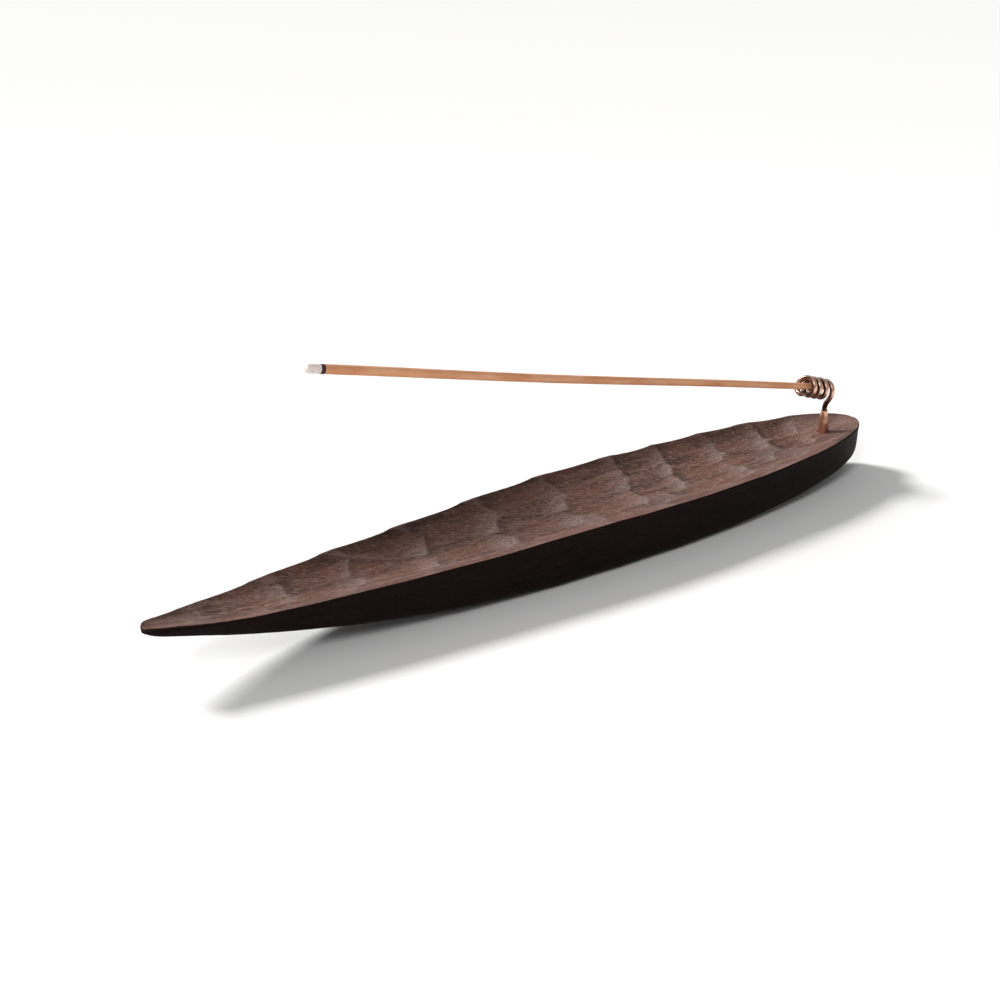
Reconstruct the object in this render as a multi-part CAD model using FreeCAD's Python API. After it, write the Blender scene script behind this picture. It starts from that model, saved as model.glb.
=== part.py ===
import FreeCAD
import Part
import math
import os

from FreeCAD import Vector

# Incense burner: a hand-carved, leaf-shaped hardwood tray with a copper wire holder.
#
# The tray is a shallow boat. Its hollow top catches the ash, its walls lean in towards the
# bottom, and its underside is flat in the middle and sweeps up to both ends. Its rim is level
# but for the narrow tip, which turns up. A tapered copper ferrule drops into a blind hole near
# the wide end. The leg of a copper wire coil stands in the ferrule and turns in it. The coil
# holds one end of an incense stick, which leans up and out over the tray. The stick is lit: it
# has its body, a charred band and a length of ash.
#
# Millimetres. +X runs along the tray to its wide end, +Y across it and +Z up. The origin is on
# the surface that the tray stands on, at the middle of its length and width.

# Tray
TRAY_LENGTH = 260.0
TRAY_WIDTH = 44.0
RIM_HEIGHT = 16.5
WIDEST_X = 29.0            # where the rim is widest
NARROW_END_HANDLE = 10.8   # Bezier handles of the rim: how blunt each end is
WIDE_END_HANDLE = 9.8
NARROW_SIDE_HANDLE = 35.5  # and how long the rim stays wide on either side of its widest place
WIDE_SIDE_HANDLE = 77.0
BILGE_HEIGHT = 3.0         # where the wall turns under
BILGE_SHARE = (0.98, 0.90)     # size of the outline there, against the rim, in length and width
BOTTOM_SHARE = (0.95, 0.74)    # and at the bottom
HOLLOW_DEPTH = 5.4
RIM_LAND = 1.4             # left flat between the hollow and the outer edge

# Seen from the side, as (x, height) poles of Bezier curves: how the rim turns up to the narrow
# tip, and how the underside sweeps up to each end, flat between the two sweeps
TIP_SHEER = [(-131.0, 18.7), (-121.0, 17.6), (-108.0, 16.5), (-98.0, 16.5)]
NARROW_SWEEP = [(-131.0, 16.6), (-110.0, 13.0), (-72.0, 1.2), (-8.0, 0.0)]
WIDE_SWEEP = [(35.0, 0.0), (72.0, 0.2), (105.0, 2.2), (131.0, 6.2)]

# Post: the ferrule in its hole and the leg of the wire in the ferrule
POST_X = 115.7
HOLE_BOTTOM = 8.0
FERRULE_SHOULDER = 14.6    # the ferrule is straight below this height and tapers above it
FERRULE_TOP = 21.5
FERRULE_RADIUS = 1.75
FERRULE_TOP_RADIUS = 1.15
FIT_CLEARANCE = 0.05       # radial: ferrule in wood, and wire in ferrule

# Wire
WIRE_RADIUS = 0.85
LEG_BOTTOM = 8.1
LEG_TOP = 22.1
COIL_RADIUS = 2.8          # to the middle of the wire
COIL_PITCH = 3.15
COIL_TURNS = 3.85
COIL_TILT = 18.3           # degrees, the mouth end up
COIL_REAR_Z = 28.65        # height of the coil's axis above the post
MOUTH_FLARE = 0.7          # how far the first turn is drawn open
MOUTH_TURNS = 0.75         # how much of the coil is drawn open
BEND_HANDLE = 2.7          # Bezier handle at both ends of the bend from coil to leg
POINTS_PER_TURN = 12

# Stick
STICK_TILT = 12.75         # degrees, the lit end up
STICK_LENGTH = 200.0
STICK_REAR = (114.57, 0.0, 29.86)
HELD_RADIUS = 1.05
LIT_RADIUS = 1.3
CHAR_LENGTH = 1.2
ASH_LENGTH = 4.2
ASH_RADIUS = 1.2           # ash shrinks a little as it burns
ASH_TIP_RADIUS = 0.95

BIG = 2 * TRAY_LENGTH


def bezier(poles, to_vector):
    """An edge along a Bezier curve through 2D poles, placed by to_vector."""
    curve = Part.BezierCurve()
    curve.setPoles([to_vector(a, b) for a, b in poles])
    return curve.toShape()


def rim_poles():
    """Half of the rim, from the narrow tip to the wide end, as two cubic Bezier spans."""
    end, half = TRAY_LENGTH / 2, TRAY_WIDTH / 2
    narrow = [(-end, 0.0), (-end, NARROW_END_HANDLE),
              (WIDEST_X - NARROW_SIDE_HANDLE, half), (WIDEST_X, half)]
    wide = [(WIDEST_X, half), (WIDEST_X + WIDE_SIDE_HANDLE, half),
            (end, WIDE_END_HANDLE), (end, 0.0)]
    return narrow, wide


def outline(height, share):
    """The four edges of the tray's outline at a height, drawn in from the rim's by share."""
    along, across = share
    narrow, wide = rim_poles()

    def place(side):
        return lambda x, y: Vector(x * along, side * y * across, height)

    left = [bezier(narrow, place(1)), bezier(wide, place(1))]
    right = [bezier(narrow, place(-1)), bezier(wide, place(-1))]
    return left + right


def flat_face(edges):
    """The flat face inside an outline."""
    return Part.Face(Part.Wire(Part.sortEdges(edges)[0]))


def side_profile():
    """The tray seen from the side, from the underside's line to the rim's, wider than the tray."""
    def place(x, z):
        return Vector(x, -TRAY_WIDTH, z)

    rim_end = (WIDE_SWEEP[-1][0], RIM_HEIGHT)
    edges = [bezier(NARROW_SWEEP, place),
             Part.makeLine(place(*NARROW_SWEEP[-1]), place(*WIDE_SWEEP[0])),
             bezier(WIDE_SWEEP, place),
             Part.makeLine(place(*WIDE_SWEEP[-1]), place(*rim_end)),
             Part.makeLine(place(*rim_end), place(*TIP_SHEER[-1])),
             bezier(TIP_SHEER, place),
             Part.makeLine(place(*TIP_SHEER[0]), place(*NARROW_SWEEP[0]))]
    profile = Part.Wire(Part.sortEdges(edges)[0])
    return Part.Face(profile).extrude(Vector(0, 2 * TRAY_WIDTH, 0))


def hull():
    """The outside of the tray: outlines joined by ruled walls, trimmed to the side profile."""
    levels = [outline(0.0, BOTTOM_SHARE), outline(BILGE_HEIGHT, BILGE_SHARE),
              outline(RIM_HEIGHT, (1.0, 1.0)), outline(TIP_SHEER[0][1] + 1, (1.0, 1.0))]
    faces = [flat_face(levels[0]), flat_face(levels[-1])]
    for lower, upper in zip(levels, levels[1:]):
        faces += [Part.makeRuledSurface(a, b) for a, b in zip(lower, upper)]
    shell = Part.makeShell(faces)
    shell.sewShape()
    return Part.makeSolid(shell).common(side_profile())


def bezier_point(poles, t):
    """The point at t on a cubic Bezier curve through 2D poles."""
    weights = [(1 - t) ** 3, 3 * t * (1 - t) ** 2, 3 * t ** 2 * (1 - t), t ** 3]
    return [sum(w * pole[i] for w, pole in zip(weights, poles)) for i in (0, 1)]


def sheer_rise(x):
    """How far the rim stands above its level part at x."""
    if x >= TIP_SHEER[-1][0]:
        return 0.0
    below, above = 0.0, 1.0
    for _ in range(30):
        middle = (below + above) / 2
        if bezier_point(TIP_SHEER, middle)[0] < x:
            below = middle
        else:
            above = middle
    return bezier_point(TIP_SHEER, below)[1] - RIM_HEIGHT


def hollow():
    """The scoop that is cut from the top: each cross-section is an arc of a circle.

    The arcs are turned about one line above the tray, so the hollow is shallow where it is
    narrow, and it turns up with the rim at the tip.
    """
    reach = TRAY_WIDTH / 2 - RIM_LAND
    turning_height = (reach ** 2 - HOLLOW_DEPTH ** 2) / (2 * HOLLOW_DEPTH)
    axis_z = RIM_HEIGHT + turning_height
    points = []
    for poles in rim_poles():
        for i in range(1, 8):
            x, y = bezier_point(poles, i / 8)
            arc_radius = math.hypot(max(y - RIM_LAND, 0), turning_height)
            points.append(Vector(x, 0, axis_z - arc_radius + sheer_rise(x)))
    curve = Part.BSplineCurve()
    curve.interpolate(points)
    first, last = points[0], points[-1]
    edges = [curve.toShape(),
             Part.makeLine(last, Vector(last.x, 0, axis_z)),
             Part.makeLine(Vector(last.x, 0, axis_z), Vector(first.x, 0, axis_z)),
             Part.makeLine(Vector(first.x, 0, axis_z), first)]
    face = Part.Face(Part.Wire(edges))
    return face.revolve(Vector(0, 0, axis_z), Vector(1, 0, 0), 360)


def tray():
    body = hull().cut(hollow())
    hole = Part.makeCylinder(FERRULE_RADIUS + FIT_CLEARANCE, BIG, Vector(POST_X, 0, HOLE_BOTTOM))
    return body.cut(hole)


def ferrule():
    """A tapered tube, open at both ends."""
    straight = Part.makeCylinder(FERRULE_RADIUS, FERRULE_SHOULDER - HOLE_BOTTOM,
                                 Vector(POST_X, 0, HOLE_BOTTOM))
    taper = Part.makeCone(FERRULE_RADIUS, FERRULE_TOP_RADIUS, FERRULE_TOP - FERRULE_SHOULDER,
                          Vector(POST_X, 0, FERRULE_SHOULDER))
    bore = Part.makeCylinder(WIRE_RADIUS + FIT_CLEARANCE, BIG, Vector(POST_X, 0, 0))
    return straight.fuse(taper).removeSplitter().cut(bore)


def coil_points():
    """Points along the middle of the wire, from its free end to where it leaves the coil.

    The coil is right-handed. Angles are measured from the -Y side, downwards.
    """
    tilt = math.radians(COIL_TILT)
    axis = Vector(math.cos(tilt), 0, -math.sin(tilt))
    up = Vector(math.sin(tilt), 0, math.cos(tilt))
    near = Vector(0, -1, 0)
    rear = Vector(POST_X, 0, COIL_REAR_Z)
    steps = round(COIL_TURNS * POINTS_PER_TURN)
    points = []
    for i in range(steps + 1):
        turn = -COIL_TURNS * (1 - i / steps)
        opened = max(0.0, (MOUTH_TURNS - COIL_TURNS - turn) / MOUTH_TURNS)
        along = COIL_PITCH * turn - MOUTH_FLARE * opened ** 1.5
        angle = 2 * math.pi * turn
        around = near * math.cos(angle) - up * math.sin(angle)
        points.append(rear + axis * along + around * COIL_RADIUS)
    return points


def coil_wire():
    """One wire: the coil, the bend under it and the leg down through the ferrule."""
    points = coil_points()
    coil = Part.BSplineCurve()
    coil.interpolate(points)
    leaving = coil.tangent(coil.LastParameter)[0]
    leg_top = Vector(POST_X, 0, LEG_TOP)
    bend = Part.BezierCurve()
    bend.setPoles([points[-1], points[-1] + leaving * BEND_HANDLE,
                   leg_top + Vector(0, 0, BEND_HANDLE), leg_top])
    leg = Part.makeLine(leg_top, Vector(POST_X, 0, LEG_BOTTOM))
    path = Part.Wire([coil.toShape(), bend.toShape(), leg])
    free_end = coil.tangent(coil.FirstParameter)[0]
    section = Part.Wire(Part.makeCircle(WIRE_RADIUS, points[0], free_end))
    return path.makePipeShell([section], True, False)


def stick_pieces():
    """The incense stick, its charred band and its ash, end to end along one leaning axis."""
    tilt = math.radians(STICK_TILT)
    direction = Vector(-math.cos(tilt), 0, math.sin(tilt))
    rear = Vector(*STICK_REAR)
    body_length = STICK_LENGTH - CHAR_LENGTH - ASH_LENGTH
    body = Part.makeCone(HELD_RADIUS, LIT_RADIUS, body_length, rear, direction)
    char_start = rear + direction * body_length
    char = Part.makeCone(LIT_RADIUS, ASH_RADIUS, CHAR_LENGTH, char_start, direction)
    ash_start = char_start + direction * CHAR_LENGTH
    ash = Part.makeCone(ASH_RADIUS, ASH_TIP_RADIUS, ASH_LENGTH, ash_start, direction)
    return {"incense_stick": body, "char_band": char, "ash_tip": ash}


def main():
    os.makedirs("parts", exist_ok=True)
    parts = {"tray": tray(), "ferrule": ferrule(), "coil_holder": coil_wire()}
    parts.update(stick_pieces())
    for name, shape in parts.items():
        shape.exportStep(f"parts/{name}.step")


main()
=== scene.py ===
import math
import random

import bmesh
import bpy
import numpy as np
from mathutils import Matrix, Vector, noise


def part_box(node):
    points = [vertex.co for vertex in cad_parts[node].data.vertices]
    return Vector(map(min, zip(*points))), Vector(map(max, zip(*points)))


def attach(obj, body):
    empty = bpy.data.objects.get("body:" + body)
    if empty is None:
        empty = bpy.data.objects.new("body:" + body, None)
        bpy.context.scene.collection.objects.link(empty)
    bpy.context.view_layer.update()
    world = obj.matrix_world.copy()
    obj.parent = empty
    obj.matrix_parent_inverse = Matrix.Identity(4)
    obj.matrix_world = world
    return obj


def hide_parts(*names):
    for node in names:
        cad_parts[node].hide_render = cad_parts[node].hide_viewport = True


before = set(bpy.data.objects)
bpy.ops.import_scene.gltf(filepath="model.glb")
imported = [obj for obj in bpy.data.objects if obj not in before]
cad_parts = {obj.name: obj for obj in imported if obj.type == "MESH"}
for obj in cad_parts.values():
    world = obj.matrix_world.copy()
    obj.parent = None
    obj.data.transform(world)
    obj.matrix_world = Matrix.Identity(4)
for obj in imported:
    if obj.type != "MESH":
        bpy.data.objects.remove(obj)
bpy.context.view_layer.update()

# Incense burner: a carved leaf-shaped tray, a copper ferrule, a copper wire coil and a lit stick.
# Shapes are worked out in millimetres and scaled to metres when a mesh is made. The tray lies
# along X with its narrow tip at -X. The camera stands on its -Y side, so its far side is at +Y.
MM = 0.001

TRAY_LOW, TRAY_HIGH = (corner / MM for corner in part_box("tray"))
FERRULE_LOW, FERRULE_HIGH = (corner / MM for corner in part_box("ferrule"))

# ---------------------------------------------------------------- tray
LENGTH = TRAY_HIGH.x - TRAY_LOW.x
HALF_LENGTH = LENGTH / 2
HALF_WIDTH = (TRAY_HIGH.y - TRAY_LOW.y) / 2

# The rim from above: two Bezier curves that meet at the widest place
WIDEST_X = 29.0
NARROW_END_HANDLE, NARROW_SIDE_HANDLE = 10.8, 35.5
WIDE_END_HANDLE, WIDE_SIDE_HANDLE = 9.8, 77.0
TIP_BLUNT = 1.0            # how much wider than its curve the very tip is
TIP_BLUNT_FROM_END, TIP_BLUNT_SPREAD = 2.0, 4.0

# The tray from the side: (x, z) poles of Bezier curves
RIM = 16.5                 # height of the level part of the rim
TIP_SHEER = [(-131.0, 18.7), (-121.0, 17.6), (-108.0, RIM), (-98.0, RIM)]
NARROW_SWEEP = [(-131.0, 16.6), (-110.0, 13.0), (-72.0, 1.2), (-8.0, 0.0)]
WIDE_SWEEP = [(35.0, 0.0), (72.0, 0.2), (105.0, 2.2), (131.0, 6.2)]
TIP_LIFT = 0.4             # how much higher than its curve the underside of the very tip is
TIP_LIFT_X, TIP_LIFT_RUN = -120.0, 10.0
RIM_SWELL = 0.7            # the rim was left a little higher just short of its widest place
RIM_SWELL_X, RIM_SWELL_SPREAD = 6.0, 32.0
FAR_RIM_SWELL = 0.3        # and a little higher on its far side, but for the ends
FAR_SWELL_X, FAR_SWELL_RUN, FAR_SWELL_END_RUN = -100.0, 30.0, 16.0

# Cross-section of the outside, from the rim to where the bottom is flat, as Bezier poles:
# (share of half-width, share of height)
WALL = [(1.0, 0.0), (0.93, 0.75), (0.92, 1.0), (0.68, 1.0)]
FOOT_SHARE = WALL[2][0]

HOLLOW_DEPTH = 4.7
HOLLOW_POWER = 1.1         # how the depth follows the width
DEEP_LINE = 0.25           # where the hollow is deepest: 0 in the middle, 1 at the far rim

RIM_ROUND = 0.42           # radius of the rim's worn edge
TIP_ROUND = 1.3            # and at the narrow tip, which is handled most
TIP_WEAR_X, TIP_WEAR_RUN = -106.0, 18.0
FAR_TIP_WEAR = 0.35        # share of the tip's extra wear that its far side has

# Gouge marks in the hollow
FAR_CRESTS = [-131, -111, -84, -63, -38, -11, 14, 42, 59, 80, 99, 112]   # x where marks meet
FAR_ROWS = ((0.72, 0.04, 0.38, 1.25), (0.08, 0.05, 0.36, 1.00))  # across, its play, reach, depth
NEAR_ROWS = ((-0.36, 0.34), (-0.80, 0.22))                       # across, depth
NEAR_START, NEAR_END = -122.0, 108.0
RIM_CALM = 0.55            # how much shallower the gouge marks are at the far rim itself
RIM_CALM_SHARE = 0.70      # and where across the tray that begins
NICK_SPACING, NICK_DEPTH = 1.7, 0.03   # lines that a nick in the gouge left along each mark
# where the hollow is made darker: its middle along x and its spread
DARKENING_X, DARKENING_SPREAD = -34.0, 62.0

# Flat knife cuts outside: distance down from the rim, depth, half-width
HULL_ROWS = ((4.0, 0.16, 6.0), (14.0, 0.45, 6.5), (26.0, 0.4, 8.0))
HULL_START, HULL_END = -132.0, 136.0
NEAR_HULL_SHIFT = 6.0      # the near side's cuts are those of the far side, moved along
MARK_STEP = 1.75           # from one mark in a row to the next, as a share of its length

STATIONS = 480
TOP_STEPS = 84
WALL_STEPS = 26
BOTTOM_STEPS = 26
EDGE_STEPS = 4

HOLE_RADIUS = (FERRULE_HIGH.x - FERRULE_LOW.x) / 2 + 0.05
HOLE_BOTTOM = FERRULE_LOW.z
BIT_TOP = 30.0
POST_X = (FERRULE_LOW.x + FERRULE_HIGH.x) / 2


def bezier(poles, t):
    """Points of a cubic Bezier curve at each t."""
    weights = np.stack([(1 - t) ** 3, 3 * t * (1 - t) ** 2, 3 * t ** 2 * (1 - t), t ** 3], 1)
    return weights @ np.array(poles, float)


def rim_outline():
    """Half of the rim as a dense line of (x, half-width), from the narrow tip to the wide end."""
    narrow = [(-HALF_LENGTH, 0), (-HALF_LENGTH, NARROW_END_HANDLE),
              (WIDEST_X - NARROW_SIDE_HANDLE, HALF_WIDTH), (WIDEST_X, HALF_WIDTH)]
    wide = [(WIDEST_X, HALF_WIDTH), (WIDEST_X + WIDE_SIDE_HANDLE, HALF_WIDTH),
            (HALF_LENGTH, WIDE_END_HANDLE), (HALF_LENGTH, 0)]
    t = np.linspace(0, 1, 2001)
    line = np.vstack([bezier(narrow, t), bezier(wide, t)[1:]])
    from_end = line[:, 0] + HALF_LENGTH
    blunt = TIP_BLUNT * np.exp(-((from_end - TIP_BLUNT_FROM_END) / TIP_BLUNT_SPREAD) ** 2)
    line[:, 1] += blunt * np.clip(line[:, 1] / 2, 0, 1)
    return line


RIM_LINE = rim_outline()


def stations(count):
    """(x, half-width) at places evenly spaced along the rim."""
    travelled = np.concatenate([[0], np.cumsum(np.hypot(*np.diff(RIM_LINE, axis=0).T))])
    even = np.linspace(0, travelled[-1], count)
    return np.interp(even, travelled, RIM_LINE[:, 0]), np.interp(even, travelled, RIM_LINE[:, 1])


def half_width(x):
    """Half-width of the tray at its rim, at each x."""
    return np.interp(x, RIM_LINE[:, 0], RIM_LINE[:, 1])


def underside(x):
    """Height of the bottom along the middle of the tray."""
    t = np.linspace(0, 1, 200)
    line = np.vstack([bezier(NARROW_SWEEP, t), bezier(WIDE_SWEEP, t)])
    lift = TIP_LIFT * np.clip((TIP_LIFT_X - x) / TIP_LIFT_RUN, 0, 1) ** 2
    return np.interp(x, line[:, 0], line[:, 1]) + lift


def rim_height(x, share):
    """Height of the rim before the gouge marks, carried across the tray by share.

    Here and below, share is the place across the tray: -1 at the near rim, 1 at the far one.
    """
    line = bezier(TIP_SHEER, np.linspace(0, 1, 100))
    swell = RIM_SWELL * np.exp(-((x - RIM_SWELL_X) / RIM_SWELL_SPREAD) ** 2)
    between_ends = (np.clip((x - FAR_SWELL_X) / FAR_SWELL_RUN, 0, 1)
                    * np.clip((HALF_LENGTH - x) / FAR_SWELL_END_RUN, 0, 1))
    far = FAR_RIM_SWELL * np.clip(share, 0, 1) * between_ends
    return np.interp(x, line[:, 0], line[:, 1]) + (swell + far) * share ** 2


def hollow_depth(width, share):
    """Depth of the smooth hollow below the rim."""
    deepest = HOLLOW_DEPTH * (width / HALF_WIDTH) ** HOLLOW_POWER
    near = (DEEP_LINE - share) / (1 + DEEP_LINE)
    far = (share - DEEP_LINE) / (1 - DEEP_LINE)
    across = np.where(share < DEEP_LINE, near, far)
    return deepest * (1 - np.clip(across, 0, 1) ** 2)


def carve(x, y, strokes, soften=0.03):
    """Gouge strokes cut a surface to the lowest of them.

    Returns the height left, how close each point is to a ridge between two strokes, and where
    it is in the deepest stroke there: along it, across it, and along it as a share of its length.
    """
    total = np.ones_like(x)
    best = np.zeros_like(x)
    second = np.zeros_like(x)
    local = np.zeros((len(x), 3))
    for cx, cy, turn, long, wide, depth in strokes:
        c, s = math.cos(turn), math.sin(turn)
        u = (x - cx) * c + (y - cy) * s
        v = (y - cy) * c - (x - cx) * s
        cut = depth * ((u / long) ** 2 + (v / wide) ** 6 - 1)
        total += np.exp(np.clip(-cut / soften, -60, 60))
        deeper = cut < best
        second = np.where(deeper, best, np.minimum(second, cut))
        best = np.where(deeper, cut, best)
        local[deeper] = np.stack([u, v, u / long], 1)[deeper]
    ridge = np.exp(-(second - best) / 0.10)
    return -soften * np.log(total), ridge, local


def top_strokes():
    """Gouge marks in the hollow: wide bold ones down the far side, longer and fainter ones near.

    Each is (x, y, turn, half-length, half-width, depth).
    """
    dice = random.Random(7)
    strokes = []
    for start, end in zip(FAR_CRESTS, FAR_CRESTS[1:]):
        middle = (start + end) / 2
        width = float(half_width(middle))
        bold = min(1.0, width / 17) ** 1.6 * dice.uniform(0.75, 1.15)
        lean = math.radians(dice.uniform(-27, -17)) * min(1.0, width / 18)
        long = (end - start) * dice.uniform(0.56, 0.62)
        places = [place + dice.uniform(-play, play) for place, play, _, _ in FAR_ROWS]
        for place, (_, _, reach, depth) in zip(places, FAR_ROWS):
            cx = middle + math.tan(lean) * width * (1 - place) + dice.uniform(-1, 1)
            strokes.append((cx, place * width, lean + math.radians(dice.uniform(-3, 3)), long,
                            max(2.5, reach * width), depth * bold))
    for place, depth in NEAR_ROWS:
        x = NEAR_START
        while x < NEAR_END:
            long = dice.uniform(12, 20)
            width = float(half_width(min(x + long, 125)))
            bold = min(1.0, width / 16) * dice.uniform(0.7, 1.3)
            strokes.append((x + long, place * width, math.radians(dice.uniform(-8, 4)), long * 1.1,
                            max(2.0, 0.33 * width), depth * bold))
            x += MARK_STEP * long
    return strokes


def hull_strokes():
    """Flat cuts along the outside. Their second measure is the distance down from the rim."""
    dice = random.Random(11)
    strokes = []
    for down, depth, wide in HULL_ROWS:
        x = HULL_START
        while x < HULL_END:
            long = dice.uniform(13, 19)
            strokes.append((x + long, down + dice.uniform(-1.2, 1.2), math.radians(dice.uniform(-5, 5)),
                            long * 1.05, wide, depth * dice.uniform(0.8, 1.2)))
            x += MARK_STEP * long
    return strokes


def edge_radius(x, share, width):
    """Radius of the rim's rounded edge, larger at the tip and most on its near side."""
    near = np.clip(0.5 - 1.5 * share * np.clip(width / 4, 0, 1), 0, 1)
    wear = FAR_TIP_WEAR + (1 - FAR_TIP_WEAR) * near
    tip = np.clip((TIP_WEAR_X - x) / TIP_WEAR_RUN, 0, 1) * wear
    return RIM_ROUND + (TIP_ROUND - RIM_ROUND) * tip


def worn_radius(x, share, width):
    """The same, where the tray is wide enough for it."""
    return np.minimum(edge_radius(x, share, width), 0.45 * width)


def rounded_drop(x, share, y, width, facing):
    """How far the top falls near its outline. facing is 1 where the outline runs along the tray."""
    radius = edge_radius(x, share, width)
    distance = (width - np.abs(y)) * facing
    inside = np.clip(radius - distance, 0, radius)
    return radius - np.sqrt(radius ** 2 - inside ** 2)


def far_darkening(x, share):
    """How much darker the hollow is made: a band along the tray, strongest towards its far side."""
    along = np.exp(-((x - DARKENING_X) / DARKENING_SPREAD) ** 2)
    return along * np.clip(0.50 + 0.8 * share, 0.1, 1)


def spread(column, row):
    """Two flat grids, ring by ring: one value of column for each ring, and row along each ring."""
    return [grid.ravel() for grid in np.meshgrid(column, row, indexing="ij")]


def tray_top(xs, widths):
    """The carved top, ring by ring: points, marks, places in their strokes, and rounded drop.

    The marks are ridge, cut, inside and the darkening of the hollow, which the wood material reads by
    name.
    """
    shares = np.linspace(-1, 1, TOP_STEPS + 1)
    x, share = spread(xs, shares)
    width, _ = spread(widths, shares)
    y = share * (width - worn_radius(x, share, width))
    steps_x, steps_y = np.gradient(xs), np.gradient(widths)
    facing, _ = spread(np.abs(steps_x) / np.hypot(steps_x, steps_y), shares)
    drop = rounded_drop(x, share, y, width, facing)

    relief, ridge, local = carve(x, y, top_strokes())
    calm = RIM_CALM * np.clip((share - RIM_CALM_SHARE) / (1 - RIM_CALM_SHARE), 0, 1) ** 2
    bold = np.clip(width / 6, 0, 1) * (1 - calm)
    waves = np.sin(2 * math.pi * local[:, 1] / NICK_SPACING)
    nicks = NICK_DEPTH * waves * np.clip(-relief / 0.1, 0, 1)
    z = rim_height(x, share) - hollow_depth(width, share) + (relief + nicks) * bold - drop

    cut = np.clip(-relief / 0.25, 0, 1)
    inside = np.clip(1.5 - 3 * drop / edge_radius(x, share, width), 0, 1)
    marks = np.stack([ridge * bold, cut * bold, inside, far_darkening(x, share)], 1)
    points = np.stack([x, y, z], 1)
    return [grid.reshape(STATIONS, len(shares), -1) for grid in (points, marks, local, drop)]


def tray_side(xs, widths, side, start_z, drop):
    """One side, down from the top's outline: the rest of the worn edge, then the wall to its foot.

    side is 1 for the far side and -1 for the near one. start_z and drop are the top's height
    and rounded drop at the outline.
    """
    edge = np.radians(np.linspace(0, 90, EDGE_STEPS + 1))[1:]
    worn = worn_radius(xs, side, widths)[:, None]
    left = edge_radius(xs, side, widths) - drop
    arc = np.stack([np.repeat(xs[:, None], EDGE_STEPS, 1),
                    side * (widths[:, None] - worn * (1 - np.sin(edge))),
                    start_z[:, None] - left[:, None] * (1 - np.cos(edge))], 2)

    section = bezier(WALL, np.linspace(0, 1, WALL_STEPS + 1)[1:])
    x, share_y = spread(xs, section[:, 0])
    _, share_z = spread(xs, section[:, 1])
    width, _ = spread(widths, section[:, 0])
    high, _ = spread(start_z - left, section[:, 0])
    low, _ = spread(underside(xs), section[:, 0])
    y = width * share_y
    z = high + (low - high) * share_z

    down = share_z * (high - low) + np.maximum(0, width * (FOOT_SHARE - share_y))
    shift = NEAR_HULL_SHIFT if side < 0 else 0.0
    cut, _, _ = carve(x + shift, down, hull_strokes())
    cut *= np.clip(width / 8, 0, 1) * np.clip(share_z * 6, 0, 1)
    level = share_z ** 3
    y = np.maximum(0, y + cut * (1 - level))
    z = z - cut * level * 0.8
    return arc, np.stack([x, side * y, z], 1).reshape(STATIONS, WALL_STEPS, 3)


def tray_bottom(far_foot, near_foot):
    """Straight rows of points across the flat, between the feet of the two walls."""
    mix = np.linspace(0, 1, BOTTOM_STEPS + 1)[1:-1][None, :, None]
    return far_foot[:, None] * (1 - mix) + near_foot[:, None] * mix


def tray_rings():
    """All points of the tray, ring by ring, with what its material needs to know."""
    xs, widths = stations(STATIONS)
    top, marks, places, drop = tray_top(xs, widths)
    far_arc, far_wall = tray_side(xs, widths, 1, top[:, -1, 2], drop[:, -1, 0])
    near_arc, near_wall = tray_side(xs, widths, -1, top[:, 0, 2], drop[:, 0, 0])
    bottom = tray_bottom(far_wall[:, -1], near_wall[:, -1])
    rings = np.concatenate([top, far_arc, far_wall, bottom, near_wall[:, ::-1], near_arc[:, ::-1]], 1)
    rest = ((0, 0), (0, rings.shape[1] - top.shape[1]), (0, 0))
    return rings, np.pad(marks, rest), np.pad(places, rest)


def unevenness(points):
    """Slow waves left by hand work, in millimetres."""
    return np.array([0.07 * noise.noise(Vector((p[0] * 0.09, p[1] * 0.28, p[2] * 0.28)))
                     + 0.03 * noise.noise(Vector((p[0] * 0.35, p[1] * 0.9, p[2] * 0.9 + 7)))
                     for p in points])


def clean(mesh, gap=0.0):
    """Turn every face outwards. With a gap, in millimetres, first merge points closer than that."""
    work = bmesh.new()
    work.from_mesh(mesh)
    if gap:
        bmesh.ops.remove_doubles(work, verts=work.verts, dist=gap * MM)
        bmesh.ops.dissolve_degenerate(work, edges=work.edges, dist=0.001 * MM)
        bmesh.ops.triangulate(work, faces=[face for face in work.faces if len(face.verts) > 4])
        same = {}
        for face in work.faces:
            same.setdefault(frozenset(face.verts), []).append(face)
        doubled = [face for faces in same.values() if len(faces) > 1 for face in faces]
        bmesh.ops.delete(work, geom=doubled, context="FACES")
    bmesh.ops.recalc_face_normals(work, faces=work.faces)
    work.to_mesh(mesh)
    work.free()


def new_object(name, points, faces):
    """A smooth mesh in the scene, from points in millimetres."""
    mesh = bpy.data.meshes.new(name)
    mesh.from_pydata([tuple(p) for p in np.asarray(points) * MM], [], faces)
    mesh.validate()
    clean(mesh)
    mesh.shade_smooth()
    piece = bpy.data.objects.new(name, mesh)
    bpy.context.scene.collection.objects.link(piece)
    return piece


def add_attribute(piece, name, kind, values):
    """Numbers on the points of a piece, for its material."""
    layer = piece.data.attributes.new(name, kind, "POINT")
    key = "vector" if kind == "FLOAT_VECTOR" else "value"
    layer.data.foreach_set(key, np.ascontiguousarray(values, np.float32).ravel())


def grid_faces(rings, around):
    """Quads between neighbouring closed rings of points."""
    return [(i * around + j, (i + 1) * around + j,
             (i + 1) * around + (j + 1) % around, i * around + (j + 1) % around)
            for i in range(rings - 1) for j in range(around)]


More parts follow.
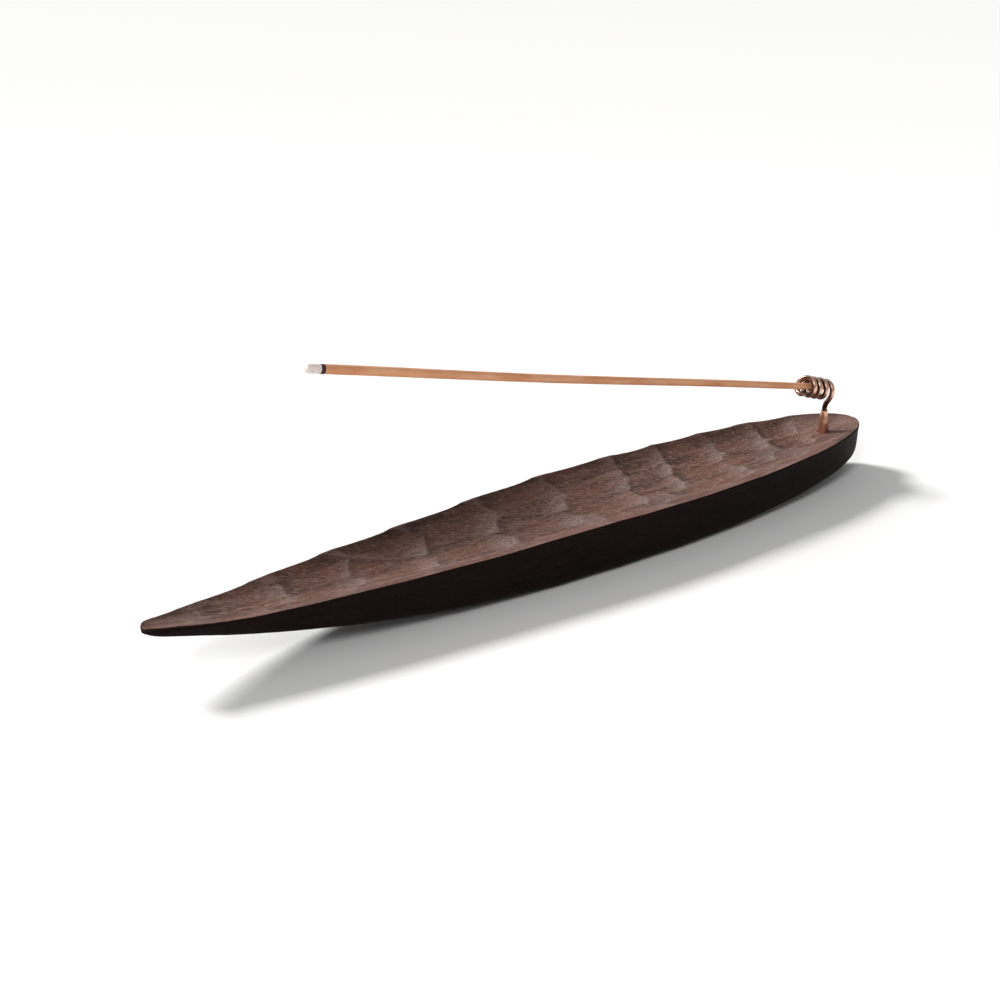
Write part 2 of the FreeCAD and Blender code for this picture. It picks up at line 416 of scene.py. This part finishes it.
def build_tray():
    """The carved tray with its hole."""
    rings, marks, places = tray_rings()
    points = rings.reshape(-1, 3)
    points[:, 2] += unevenness(points) * np.clip(half_width(points[:, 0]) / 5, 0, 1)
    piece = new_object("tray_carved", points, grid_faces(STATIONS, rings.shape[1]))
    for index, name in enumerate(("ridge", "cut", "inside", "far_darkening")):
        add_attribute(piece, name, "FLOAT", marks[:, :, index])
    add_attribute(piece, "stroke", "FLOAT_VECTOR", places)
    clean(piece.data, 0.01)
    drill(piece)
    clean(piece.data, 0.02)
    piece.data.set_sharp_from_angle(angle=math.radians(48))
    return piece


def drill(piece):
    """The blind hole for the ferrule."""
    bpy.ops.mesh.primitive_cylinder_add(
        vertices=64, radius=HOLE_RADIUS * MM, depth=(BIT_TOP - HOLE_BOTTOM) * MM,
        location=(POST_X * MM, 0, (BIT_TOP + HOLE_BOTTOM) / 2 * MM))
    bit = bpy.context.object
    cut = piece.modifiers.new("hole", "BOOLEAN")
    cut.operation, cut.solver, cut.object = "DIFFERENCE", "EXACT", bit
    bpy.context.view_layer.objects.active = piece
    bpy.ops.object.modifier_apply(modifier=cut.name)
    bpy.data.objects.remove(bit, do_unlink=True)


# ---------------------------------------------------------------- wire
WIRE_RADIUS = 0.85
LEG_BOTTOM, LEG_TOP = 8.1, 22.1
COIL_RADIUS, COIL_PITCH, COIL_TURNS = 2.8, 3.15, 3.85
COIL_TILT = math.radians(18.3)
COIL_AXIS = np.array([math.cos(COIL_TILT), 0, -math.sin(COIL_TILT)])   # from the mouth to the rear
COIL_UP = np.array([math.sin(COIL_TILT), 0, math.cos(COIL_TILT)])
COIL_REAR = np.array([POST_X, 0, 28.65])
NEARWARD = np.array([0, -1.0, 0])
MOUTH_FLARE, MOUTH_TURNS = 0.7, 0.75   # the first part of the coil is pulled open a little
BEND_HANDLE = 2.7
BEND_TOP = 27.0            # below this height the wire is painted dark all round, as painted shade under the coil
NOSE_LENGTH = 0.30         # the wire's free end is rounded over this length
SWEEP_SIDES = 32


def unit(vector):
    """The same direction, one long."""
    return vector / np.linalg.norm(vector)


def wire_path():
    """Points along the middle of the wire, from the coil's free end to the foot of the leg."""
    turn = np.linspace(-COIL_TURNS, 0, 260)[:, None]
    opened = np.clip((MOUTH_TURNS - COIL_TURNS - turn) / MOUTH_TURNS, 0, 1)
    along = COIL_PITCH * turn - MOUTH_FLARE * opened ** 1.5
    bent_by_hand = 0.05 * np.sin(turn * 4.1 + 0.6) + 0.03 * np.sin(turn * 9.7)
    angle = 2 * math.pi * turn
    outward = NEARWARD * np.cos(angle) - COIL_UP * np.sin(angle)
    coil = COIL_REAR + COIL_AXIS * along + outward * (COIL_RADIUS + bent_by_hand)

    leaving = unit(coil[-1] - coil[-2])
    leg_top = np.array([POST_X, 0, LEG_TOP])
    bend = bezier([coil[-1], coil[-1] + leaving * BEND_HANDLE,
                   leg_top + np.array([0, 0, BEND_HANDLE]), leg_top], np.linspace(0, 1, 28)[1:])
    heights = np.linspace(LEG_TOP, LEG_BOTTOM, 24)[1:]
    leg = np.stack([np.full_like(heights, POST_X), 0 * heights, heights], 1)
    return np.vstack([coil, bend, leg])


def sweep(name, path, radius_at, start=0.0):
    """A round rod along a path, closed at both ends. Returns the piece and its points.

    Distances along it are counted from start. Its rod attribute tells materials how far along
    and where round it each point is.
    """
    tangents = np.gradient(path, axis=0)
    tangents /= np.linalg.norm(tangents, axis=1)[:, None]
    side = unit(np.cross(tangents[0], [0, 0, 1.0]))
    angles = np.linspace(0, 2 * math.pi, SWEEP_SIDES, endpoint=False)
    across, upward = np.cos(angles)[:, None], np.sin(angles)[:, None]
    steps = np.linalg.norm(np.diff(path, axis=0), axis=1)
    travelled = start + np.concatenate([[0], np.cumsum(steps)])
    rings = []
    for centre, tangent, distance in zip(path, tangents, travelled):
        side = unit(side - tangent * side.dot(tangent))
        other = np.cross(tangent, side)
        reach = radius_at(distance, angles)[:, None]
        rings.append(centre + reach * (across * side + upward * other))
    points = np.vstack(rings)
    last = (len(path) - 1) * SWEEP_SIDES
    ends = [tuple(range(SWEEP_SIDES - 1, -1, -1)), tuple(range(last, last + SWEEP_SIDES))]
    piece = new_object(name, points, grid_faces(len(path), SWEEP_SIDES) + ends)
    lengths = np.repeat(travelled, SWEEP_SIDES)
    turns = np.tile(angles, len(path))
    add_attribute(piece, "rod", "FLOAT_VECTOR", np.stack([lengths, np.cos(turns), np.sin(turns)], 1))
    return piece, points


def painted_shade(points, centres):
    """How dark the wire is painted as shade: most inside the coil, between its turns and below the
    coil, and on its underside as a painted dark reflection.
    """
    outward = points - centres
    outward /= np.linalg.norm(outward, axis=1)[:, None]
    from_rear = centres - COIL_REAR
    radial = from_rear - COIL_AXIS * (from_rear @ COIL_AXIS)[:, None]
    radial /= np.maximum(np.linalg.norm(radial, axis=1), 1e-6)[:, None]
    in_coil = np.clip((centres[:, 2] - LEG_TOP - 1.5) / 1.5, 0, 1)
    inward = -np.sum(outward * radial, axis=1) * in_coil
    downward = -outward[:, 2]
    between = np.abs(outward @ COIL_AXIS) * in_coil
    bend = 0.8 * np.clip((BEND_TOP - points[:, 2]) / 2, 0, 1)
    worst = np.max([inward, 0.8 * downward, 1.2 * between - 0.45, bend], axis=0)
    return np.clip(worst, 0, 1)


def build_wire():
    """The coil, its bend and its leg, as one wire."""
    path = wire_path()
    outward = unit(path[0] - path[1])
    nose = np.array([path[0] + outward * ahead for ahead in (NOSE_LENGTH, 0.24, 0.14)])
    path = np.vstack([nose, path])

    def radius(distance, angles):
        blunt = min(1.0, 0.62 + 0.38 * (distance / NOSE_LENGTH) ** 0.5)
        return np.full_like(angles, WIRE_RADIUS * blunt * (1 + 0.006 * math.sin(distance * 1.7)))

    piece, points = sweep("coil_wire", path, radius)
    # painted shade on the wire: inside the coil, between its turns, below the coil and on its underside
    add_attribute(piece, "painted_shade", "FLOAT", painted_shade(points, np.repeat(path, SWEEP_SIDES, axis=0)))
    piece.data.set_sharp_from_angle(angle=math.radians(50))
    return piece


# ---------------------------------------------------------------- ferrule
FERRULE_RADIUS, FERRULE_TOP_RADIUS = 1.75, 1.15
FERRULE_BORE = 0.90
FERRULE_SHOULDER = 14.6    # straight below this height, tapered above it
FERRULE_LIP, FERRULE_CHAMFER = 0.10, 0.12
FERRULE_SIDES = 64


def lathe(name, profile, place):
    """A turned shape from (radius, height) points of its closed outline."""
    angles = np.linspace(0, 2 * math.pi, FERRULE_SIDES, endpoint=False)
    points = [place(radius, height, a) for radius, height in profile for a in angles]
    faces = []
    for i in range(len(profile)):
        ring, following = i * FERRULE_SIDES, (i + 1) % len(profile) * FERRULE_SIDES
        for j in range(FERRULE_SIDES):
            k = (j + 1) % FERRULE_SIDES
            faces.append((ring + j, ring + k, following + k, following + j))
    return new_object(name, points, faces)


def ferrule_profile():
    """(radius, height) round one half of the tube's section: outside, rolled lip, bore."""
    low, high = FERRULE_LOW.z, FERRULE_HIGH.z
    taper = FERRULE_TOP_RADIUS - FERRULE_RADIUS
    outer = [(FERRULE_RADIUS - FERRULE_CHAMFER, low), (FERRULE_RADIUS, low + FERRULE_CHAMFER)]
    outer += [(FERRULE_RADIUS, z) for z in np.linspace(low + 0.6, FERRULE_SHOULDER, 8)]
    for t in np.linspace(0, 1, 26)[1:]:
        swell = 0.04 * math.sin(t * 9) * t * (1 - t)
        z = FERRULE_SHOULDER + t * (high - FERRULE_LIP - FERRULE_SHOULDER)
        outer.append((FERRULE_RADIUS + taper * t + swell, z))
    lip = [(FERRULE_TOP_RADIUS - FERRULE_LIP * (1 - math.cos(a)),
            high - FERRULE_LIP + FERRULE_LIP * math.sin(a)) for a in np.radians([30, 60, 90])]
    bore = [(FERRULE_BORE, high - 0.08), (FERRULE_BORE, high - 1.5), (FERRULE_BORE, low)]
    return outer + lip + bore


def build_ferrule():
    """The copper tube that the wire's leg stands in."""
    def place(radius, height, angle):
        """A point of the tube, which is hammered a little out of round where it shows."""
        shown = max(0.0, min(1.0, (height - FERRULE_SHOULDER) / 2)) * (radius > FERRULE_BORE + 0.01)
        dent = noise.noise(Vector((2.2 * math.cos(angle), 2.2 * math.sin(angle), height * 0.5)))
        reach = radius + 0.035 * dent * shown
        return (POST_X + reach * math.cos(angle), reach * math.sin(angle), height)

    profile = ferrule_profile()
    piece = lathe("ferrule_tube", profile, place)
    # the bore is painted dark, as shade inside the hole
    in_bore = [1.0 if radius <= FERRULE_BORE else 0.0 for radius, _ in profile]
    add_attribute(piece, "painted_shade", "FLOAT", np.repeat(in_bore, FERRULE_SIDES))
    piece.data.set_sharp_from_angle(angle=math.radians(50))
    return piece


# ---------------------------------------------------------------- stick
STICK_TILT = math.radians(12.75)
STICK_WAY = np.array([-math.cos(STICK_TILT), 0, math.sin(STICK_TILT)])
STICK_REAR = np.array([114.57, 0.0, 29.86])
STICK_LENGTH, CHAR_LENGTH, ASH_LENGTH = 200.0, 1.2, 4.2
HELD_RADIUS, LIT_RADIUS, ASH_RADIUS = 1.05, 1.3, 1.22
BOW, BOW_START = 0.45, 40.0
BODY_LUMPS, ASH_LUMPS = 3.0, 9.0       # where in the noise each takes its lumps from


def stick_centre(distances):
    """Points along the stick's middle: hand-rolled sticks dry a little bowed."""
    along = np.clip((distances - BOW_START) / (STICK_LENGTH - BOW_START), 0, 1)
    sag = BOW * np.sin(along * math.pi) ** 2
    return STICK_REAR + STICK_WAY * distances[:, None] - np.array([0, 0, 1.0]) * sag[:, None]


def stick_radius(distance, angles, rough, lumps_from):
    """Radius of the pressed paste at a distance from the held end, lumpy by rough."""
    def lump(along, round_, angle):
        return noise.noise(Vector((distance * along, round_ * math.cos(angle),
                                   round_ * math.sin(angle) + lumps_from)))

    reach = HELD_RADIUS + (LIT_RADIUS - HELD_RADIUS) * distance / STICK_LENGTH
    lumps = np.array([lump(0.35, 1.6, a) + 0.6 * lump(1.7, 3, a) for a in angles])
    return reach * (1 + rough * lumps)


def build_rod(name, start, end, steps, radius_at):
    """A piece of the stick, between two distances from its held end."""
    path = stick_centre(np.linspace(start, end, steps))
    piece, _ = sweep(name, path, radius_at, start)
    piece.data.set_sharp_from_angle(angle=math.radians(60))
    return piece


def build_stick():
    """The unburnt stick, the charred band and the ash."""
    char_start = STICK_LENGTH - CHAR_LENGTH - ASH_LENGTH
    ash_start = char_start + CHAR_LENGTH

    def body(distance, angles):
        chamfer = 1 - 0.12 * max(0.0, 1 - distance / 0.25)
        return stick_radius(distance, angles, 0.022, BODY_LUMPS) * chamfer

    def char(distance, angles):
        t = (distance - char_start) / CHAR_LENGTH
        return stick_radius(distance, angles, 0.022 + 0.03 * t, BODY_LUMPS) * (1 - 0.05 * t)

    def ash(distance, angles):
        t = (distance - ash_start) / ASH_LENGTH
        blunt = math.sqrt(max(0.0, 1 - max(0.0, (t - 0.80) / 0.20) ** 2.2))
        shrunk = ASH_RADIUS / LIT_RADIUS
        return shrunk * stick_radius(distance, angles, 0.05, ASH_LUMPS) * max(0.05, blunt)

    return (build_rod("stick_body", 0, char_start, 300, body),
            build_rod("stick_char", char_start, ash_start, 10, char),
            build_rod("stick_ash", ash_start, STICK_LENGTH, 44, ash))


# ---------------------------------------------------------------- materials
class Nodes:
    """Short ways to add shader nodes to one material."""

    def __init__(self, name):
        self.material = bpy.data.materials.new(name)
        self.material.use_nodes = True
        self.tree = self.material.node_tree
        self.shader = self.tree.nodes["Principled BSDF"]

    def add(self, kind, **settings):
        """A new node with these settings."""
        node = self.tree.nodes.new(kind)
        for key, value in settings.items():
            setattr(node, key, value)
        return node

    def link(self, source, target):
        self.tree.links.new(source, target)

    def set(self, **sockets):
        """Constant values of the shader."""
        for key, value in sockets.items():
            self.shader.inputs[key.replace("_", " ")].default_value = value

    def place(self, scale, attribute=None):
        """Coordinates in millimetres, or a vector attribute, stretched by scale."""
        mapping = self.add("ShaderNodeMapping")
        if attribute:
            self.link(self.attribute(attribute, "Vector"), mapping.inputs["Vector"])
            mapping.inputs["Scale"].default_value = scale
        else:
            coordinates = self.add("ShaderNodeTexCoord")
            self.link(coordinates.outputs["Object"], mapping.inputs["Vector"])
            mapping.inputs["Scale"].default_value = tuple(s / MM for s in scale)
        return mapping.outputs["Vector"]

    def attribute(self, name, output="Fac"):
        return self.add("ShaderNodeAttribute", attribute_name=name).outputs[output]

    def split(self, vector, part):
        node = self.add("ShaderNodeSeparateXYZ")
        self.link(vector, node.inputs["Vector"])
        return node.outputs[part]

    def noise(self, vector, detail=4.0, roughness=0.55, distortion=0.0):
        """Noise whose size comes from how its vector is stretched."""
        node = self.add("ShaderNodeTexNoise")
        self.link(vector, node.inputs["Vector"])
        for key, value in (("Scale", 1.0), ("Detail", detail), ("Roughness", roughness),
                           ("Distortion", distortion)):
            node.inputs[key].default_value = value
        return node.outputs["Fac"]

    def ramp(self, value, stops):
        """Colours by value, from (position, colour) stops."""
        node = self.add("ShaderNodeValToRGB")
        while len(node.color_ramp.elements) < len(stops):
            node.color_ramp.elements.new(0.5)
        for element, (position, colour) in zip(node.color_ramp.elements, stops):
            element.position = position
            element.color = (*colour, 1)
        self.link(value, node.inputs["Fac"])
        return node.outputs["Color"]

    def levels(self, value, low, high, out_low=0.0, out_high=1.0):
        """A value's range from low to high, spread over the range from out_low to out_high."""
        node = self.add("ShaderNodeMapRange")
        self.link(value, node.inputs["Value"])
        for key, number in (("From Min", low), ("From Max", high),
                            ("To Min", out_low), ("To Max", out_high)):
            node.inputs[key].default_value = number
        return node.outputs["Result"]

    def math(self, operation, a, b):
        node = self.add("ShaderNodeMath", operation=operation)
        for socket, value in zip(node.inputs, (a, b)):
            if isinstance(value, (int, float)):
                socket.default_value = value
            else:
                self.link(value, socket)
        return node.outputs["Value"]

    def mix(self, fac, a, b, blend="MIX"):
        """Colour a with b over it, by fac."""
        node = self.add("ShaderNodeMix", data_type="RGBA", blend_type=blend)
        for socket, value in ((node.inputs["Factor"], fac), (node.inputs[6], a), (node.inputs[7], b)):
            if isinstance(value, (int, float)):
                socket.default_value = value
            elif isinstance(value, tuple):
                socket.default_value = (*value, 1)
            else:
                self.link(value, socket)
        return node.outputs[2]

    def bump(self, height, strength, distance):
        """Relief from a height. distance is in millimetres."""
        node = self.add("ShaderNodeBump")
        node.inputs["Strength"].default_value = strength
        node.inputs["Distance"].default_value = distance * MM
        self.link(height, node.inputs["Height"])
        return node.outputs["Normal"]

    def finish(self, colour, roughness, normal):
        """Link what the shader takes from nodes. None leaves a socket as it is."""
        for value, socket in ((colour, "Base Color"), (roughness, "Roughness"), (normal, "Normal")):
            if value is not None:
                self.link(value, self.shader.inputs[socket])
        return self.material


def wood_material():
    """Dark hardwood, with painted highlight and painted shade at the ends of the gouge marks, lighter
    crests that are partly wear and partly painted sheen, and a dark stain outside deepened to near
    black as painted shade.
    """
    n = Nodes("carved_wood")
    grain = n.noise(n.place((0.045, 0.55, 0.55)), detail=6, roughness=0.62, distortion=0.5)
    fibre = n.noise(n.place((0.30, 3.6, 3.6)), detail=4, roughness=0.6)
    patch = n.noise(n.place((0.030, 0.10, 0.10)), detail=3)
    pores = n.noise(n.place((0.55, 5.0, 5.0)), detail=2, roughness=0.5)
    streak = n.noise(n.place((0.34, 1.9, 0.0), attribute="stroke"), detail=5, roughness=0.72)
    torn = n.noise(n.place((1.5, 1.1, 0.0), attribute="stroke"), detail=5, roughness=0.75)
    inside = n.attribute("inside")

    base = n.ramp(grain, [(0.30, (0.066, 0.032, 0.025)), (0.46, (0.128, 0.068, 0.053)),
                          (0.58, (0.198, 0.108, 0.084)), (0.74, (0.262, 0.152, 0.120))])
    base = n.mix(n.levels(patch, 0.40, 0.62, 0.0, 0.55), base, (0.225, 0.098, 0.070))
    base = n.mix(n.levels(fibre, 0.42, 0.70, 0.0, 0.6), base, (0.050, 0.027, 0.022))
    # each gouge mark gets a painted highlight at the end where the tool left the wood, and painted
    # shade at the end where it went in, as light from the left would fall on the scallops
    stroke = n.attribute("stroke", "Vector")
    travel = n.split(stroke, "Z")
    low_side = n.levels(n.split(stroke, "Y"), 6.0, -5.0, 0.25, 1.0)
    exit_end = n.math("MULTIPLY", n.levels(travel, 0.25, 0.85), n.attribute("cut"))
    entry_end = n.math("MULTIPLY", n.levels(travel, -0.50, -0.88), n.attribute("cut"))
    # painted shade: dark at the entry end of each mark
    base = n.mix(n.math("MULTIPLY", entry_end, 0.80), base, (0.030, 0.016, 0.014))
    # painted highlight: light grey at the exit end of each mark, most on its near side
    painted_highlight = n.math("MULTIPLY", exit_end, n.levels(torn, 0.40, 0.60, 0.10, 0.80))
    base = n.mix(n.math("MULTIPLY", painted_highlight, low_side), base, (0.360, 0.285, 0.268))
    dashes = n.math("MULTIPLY", n.levels(streak, 0.53, 0.62), n.attribute("cut"))
    base = n.mix(n.math("MULTIPLY", dashes, 0.70), base, (0.330, 0.250, 0.226))
    # the crests between marks are made lighter grey: partly wear, partly painted sheen
    worn = n.math("MULTIPLY", n.attribute("ridge"), n.levels(torn, 0.38, 0.6, 0.05, 0.45))
    base = n.mix(worn, base, (0.330, 0.255, 0.235))
    # darker towards the far side, along a band of the hollow
    base = n.mix(n.math("MULTIPLY", n.attribute("far_darkening"), 0.72), base, (0.30, 0.29, 0.28), "MULTIPLY")
    pore = n.levels(pores, 0.58, 0.66)
    base = n.mix(n.math("MULTIPLY", pore, 0.65), base, (0.022, 0.011, 0.009))
    # outside, the wood is made near-black: partly its dark stain, partly painted shade
    dark_and_shaded_outside = n.mix(0.97, base, (0.0034, 0.0012, 0.0010))
    base = n.mix(inside, dark_and_shaded_outside, base)

    roughness = n.levels(n.math("ADD", fibre, streak), 0.6, 1.4, 0.50, 0.72)
    height = n.math("ADD", n.math("MULTIPLY", fibre, 0.7), n.math("MULTIPLY", streak, 0.9))
    height = n.math("ADD", height, n.math("MULTIPLY", torn, 0.7))
    height = n.math("SUBTRACT", height, n.math("MULTIPLY", pore, 0.7))
    n.set(Specular_IOR_Level=0.06)
    return n.finish(base, roughness, n.bump(height, 0.8, 0.20))


def copper_material(name, bright, dull, tarnish):
    """Copper in patches, with tarnished spots, and painted shade where the mesh attribute for it is
    high.
    """
    n = Nodes(name)
    patch = n.noise(n.place((0.35, 0.35, 0.35)), detail=5, roughness=0.6)
    spots = n.noise(n.place((1.6, 1.6, 1.6)), detail=3)
    drawn = n.noise(n.place((0.25, 6.0, 6.0), attribute="rod"), detail=3)
    colour = n.mix(n.levels(patch, 0.38, 0.66), bright, dull)
    colour = n.mix(n.levels(spots, 0.60, 0.74, 0.0, 0.6), colour, tarnish)
    # painted shade: the copper goes near-black where the attribute is high
    dark = n.math("MULTIPLY", n.attribute("painted_shade"), n.levels(patch, 0.30, 0.60, 1.0, 0.75))
    colour = n.mix(n.levels(dark, 0.12, 0.62, 0.0, 0.95), colour, (0.050, 0.015, 0.008))
    roughness = n.levels(n.math("ADD", patch, drawn), 0.7, 1.3, 0.20, 0.42)
    height = n.math("ADD", drawn, n.math("MULTIPLY", spots, 0.5))
    n.set(Metallic=1.0)
    return n.finish(colour, roughness, n.bump(height, 0.25, 0.03))


def paste_material():
    """Pressed plant paste: gritty, with faint drawing lines and reddish patches."""
    n = Nodes("incense_paste")
    grit = n.noise(n.place((3.2, 3.2, 3.2)), detail=4, roughness=0.65)
    patch = n.noise(n.place((0.09, 0.5, 0.5), attribute="rod"), detail=4)
    drawn = n.noise(n.place((0.12, 3.0, 3.0), attribute="rod"), detail=3)
    specks = n.noise(n.place((5.5, 5.5, 5.5)), detail=1)
    colour = n.ramp(patch, [(0.32, (0.57, 0.225, 0.105)), (0.48, (0.65, 0.305, 0.156)),
                            (0.66, (0.73, 0.380, 0.215))])
    colour = n.mix(n.levels(grit, 0.48, 0.78, 0.0, 0.40), colour, (0.44, 0.170, 0.080))
    colour = n.mix(n.levels(drawn, 0.50, 0.72, 0.0, 0.35), colour, (0.66, 0.395, 0.250))
    colour = n.mix(n.levels(specks, 0.66, 0.74, 0.0, 0.6), colour, (0.80, 0.56, 0.40))
    height = n.math("ADD", grit, n.math("MULTIPLY", drawn, 0.6))
    n.set(Roughness=0.82, Specular_IOR_Level=0.25)
    return n.finish(colour, None, n.bump(height, 0.5, 0.06))


def char_material():
    """Paste that has burnt black but not yet to ash."""
    n = Nodes("charred_paste")
    grit = n.noise(n.place((2.6, 2.6, 2.6)), detail=5, roughness=0.7)
    colour = n.ramp(grit, [(0.35, (0.020, 0.010, 0.011)), (0.55, (0.060, 0.030, 0.033)),
                           (0.72, (0.16, 0.11, 0.11))])
    n.set(Roughness=0.9, Specular_IOR_Level=0.2)
    return n.finish(colour, None, n.bump(grit, 0.7, 0.1))


def ash_material():
    """Pale ash, flaking in layers across the stick."""
    n = Nodes("ash")
    grit = n.noise(n.place((2.2, 2.2, 2.2)), detail=6, roughness=0.7)
    layers = n.noise(n.place((1.5, 0.5, 0.5), attribute="rod"), detail=3)
    colour = n.ramp(grit, [(0.30, (0.38, 0.320, 0.295)), (0.5, (0.82, 0.715, 0.655)),
                           (0.7, (0.92, 0.845, 0.795))])
    colour = n.mix(n.levels(layers, 0.55, 0.72, 0.0, 0.35), colour, (0.36, 0.31, 0.285))
    n.set(Roughness=0.95, Specular_IOR_Level=0.15)
    return n.finish(colour, None, n.bump(grit, 0.9, 0.16))


# ---------------------------------------------------------------- putting it together
def install(piece, body, node, material):
    """Give a piece its material, and say what it moves with and what it replaces."""
    piece.data.materials.clear()
    piece.data.materials.append(material)
    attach(piece, body)
    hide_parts(node)


copper = copper_material("wire_copper", (0.96, 0.66, 0.53), (0.80, 0.45, 0.31), (0.36, 0.14, 0.07))
old_copper = copper_material("ferrule_copper", (0.80, 0.47, 0.32), (0.56, 0.28, 0.16),
                             (0.26, 0.10, 0.05))
install(build_tray(), "tray", "tray", wood_material())
install(build_ferrule(), "ferrule", "ferrule", old_copper)
install(build_wire(), "holder", "coil_holder", copper)
stick, char, ash = build_stick()
install(stick, "stick", "incense_stick", paste_material())
install(char, "stick", "char_band", char_material())
install(ash, "stick", "ash_tip", ash_material())


# ---------------------------------------------------------------- floor, light and camera
# Places and sizes here are in metres
FLOOR_SIZE = 6.0
KEY_FROM, KEY_POWER, KEY_SPREAD = (-0.36, 0.88, 0.80), 3.8, 16.0
FILL_AT, FILL_SIZE, FILL_POWER = (-0.95, -0.60, 0.80), 0.35, 6.5
WORLD_STRENGTH = 0.34

CAMERA_AZIMUTH = math.radians(39.43)   # turned from looking along +Y towards looking along +X
CAMERA_HEIGHT = math.radians(22.0)     # angle above the floor
CAMERA_DISTANCE = 1.75 * LENGTH * MM
SENSOR_WIDTH, FOCAL_LENGTH = 36.0, 56.24   # in millimetres
FRAME_SHIFT = (-0.0565, 0.0066)


def build_floor():
    """A pale floor under the tray."""
    bpy.ops.mesh.primitive_plane_add(size=FLOOR_SIZE)
    floor = bpy.context.object
    floor.name = "floor"
    n = Nodes("pale_floor")
    n.set(Base_Color=(0.86, 0.855, 0.85, 1), Roughness=0.9, Specular_IOR_Level=0.1)
    floor.data.materials.append(n.material)


def aim_light(data, place):
    """Put a light in its place, facing the origin."""
    light = bpy.data.objects.new(data.name, data)
    light.location = place
    light.rotation_euler = Vector(place).to_track_quat("Z", "Y").to_euler()
    bpy.context.scene.collection.objects.link(light)


def sun(name, place, power, spread):
    """Even light from far away towards the origin. spread is its width in degrees."""
    data = bpy.data.lights.new(name, "SUN")
    data.energy, data.angle = power, math.radians(spread)
    aim_light(data, place)


def area_light(name, place, size, power):
    """A square lamp that faces the origin."""
    data = bpy.data.lights.new(name, "AREA")
    data.shape, data.size, data.size_y = "RECTANGLE", size, size
    data.energy = power
    aim_light(data, place)


def build_camera():
    """The camera, aimed at the middle of the tray at the height of its rim."""
    data = bpy.data.cameras.new("camera")
    data.sensor_width, data.lens = SENSOR_WIDTH, FOCAL_LENGTH
    data.shift_x, data.shift_y = FRAME_SHIFT
    data.clip_start = 0.01
    camera = bpy.data.objects.new("camera", data)
    target = Vector((0, 0, RIM * MM))
    back = Vector((-math.sin(CAMERA_AZIMUTH) * math.cos(CAMERA_HEIGHT),
                   -math.cos(CAMERA_AZIMUTH) * math.cos(CAMERA_HEIGHT), math.sin(CAMERA_HEIGHT)))
    camera.location = target + back * CAMERA_DISTANCE
    camera.rotation_euler = back.to_track_quat("Z", "Y").to_euler()
    bpy.context.scene.collection.objects.link(camera)
    bpy.context.scene.camera = camera


def build_world():
    """Even white light from all round."""
    world = bpy.data.worlds.new("studio")
    world.use_nodes = True
    background = world.node_tree.nodes["Background"]
    background.inputs["Color"].default_value = (1, 1, 1, 1)
    background.inputs["Strength"].default_value = WORLD_STRENGTH
    bpy.context.scene.world = world


build_floor()
sun("key", KEY_FROM, KEY_POWER, KEY_SPREAD)
area_light("fill", FILL_AT, FILL_SIZE, FILL_POWER)
build_camera()
build_world()
bpy.context.scene.view_settings.view_transform = "Standard"
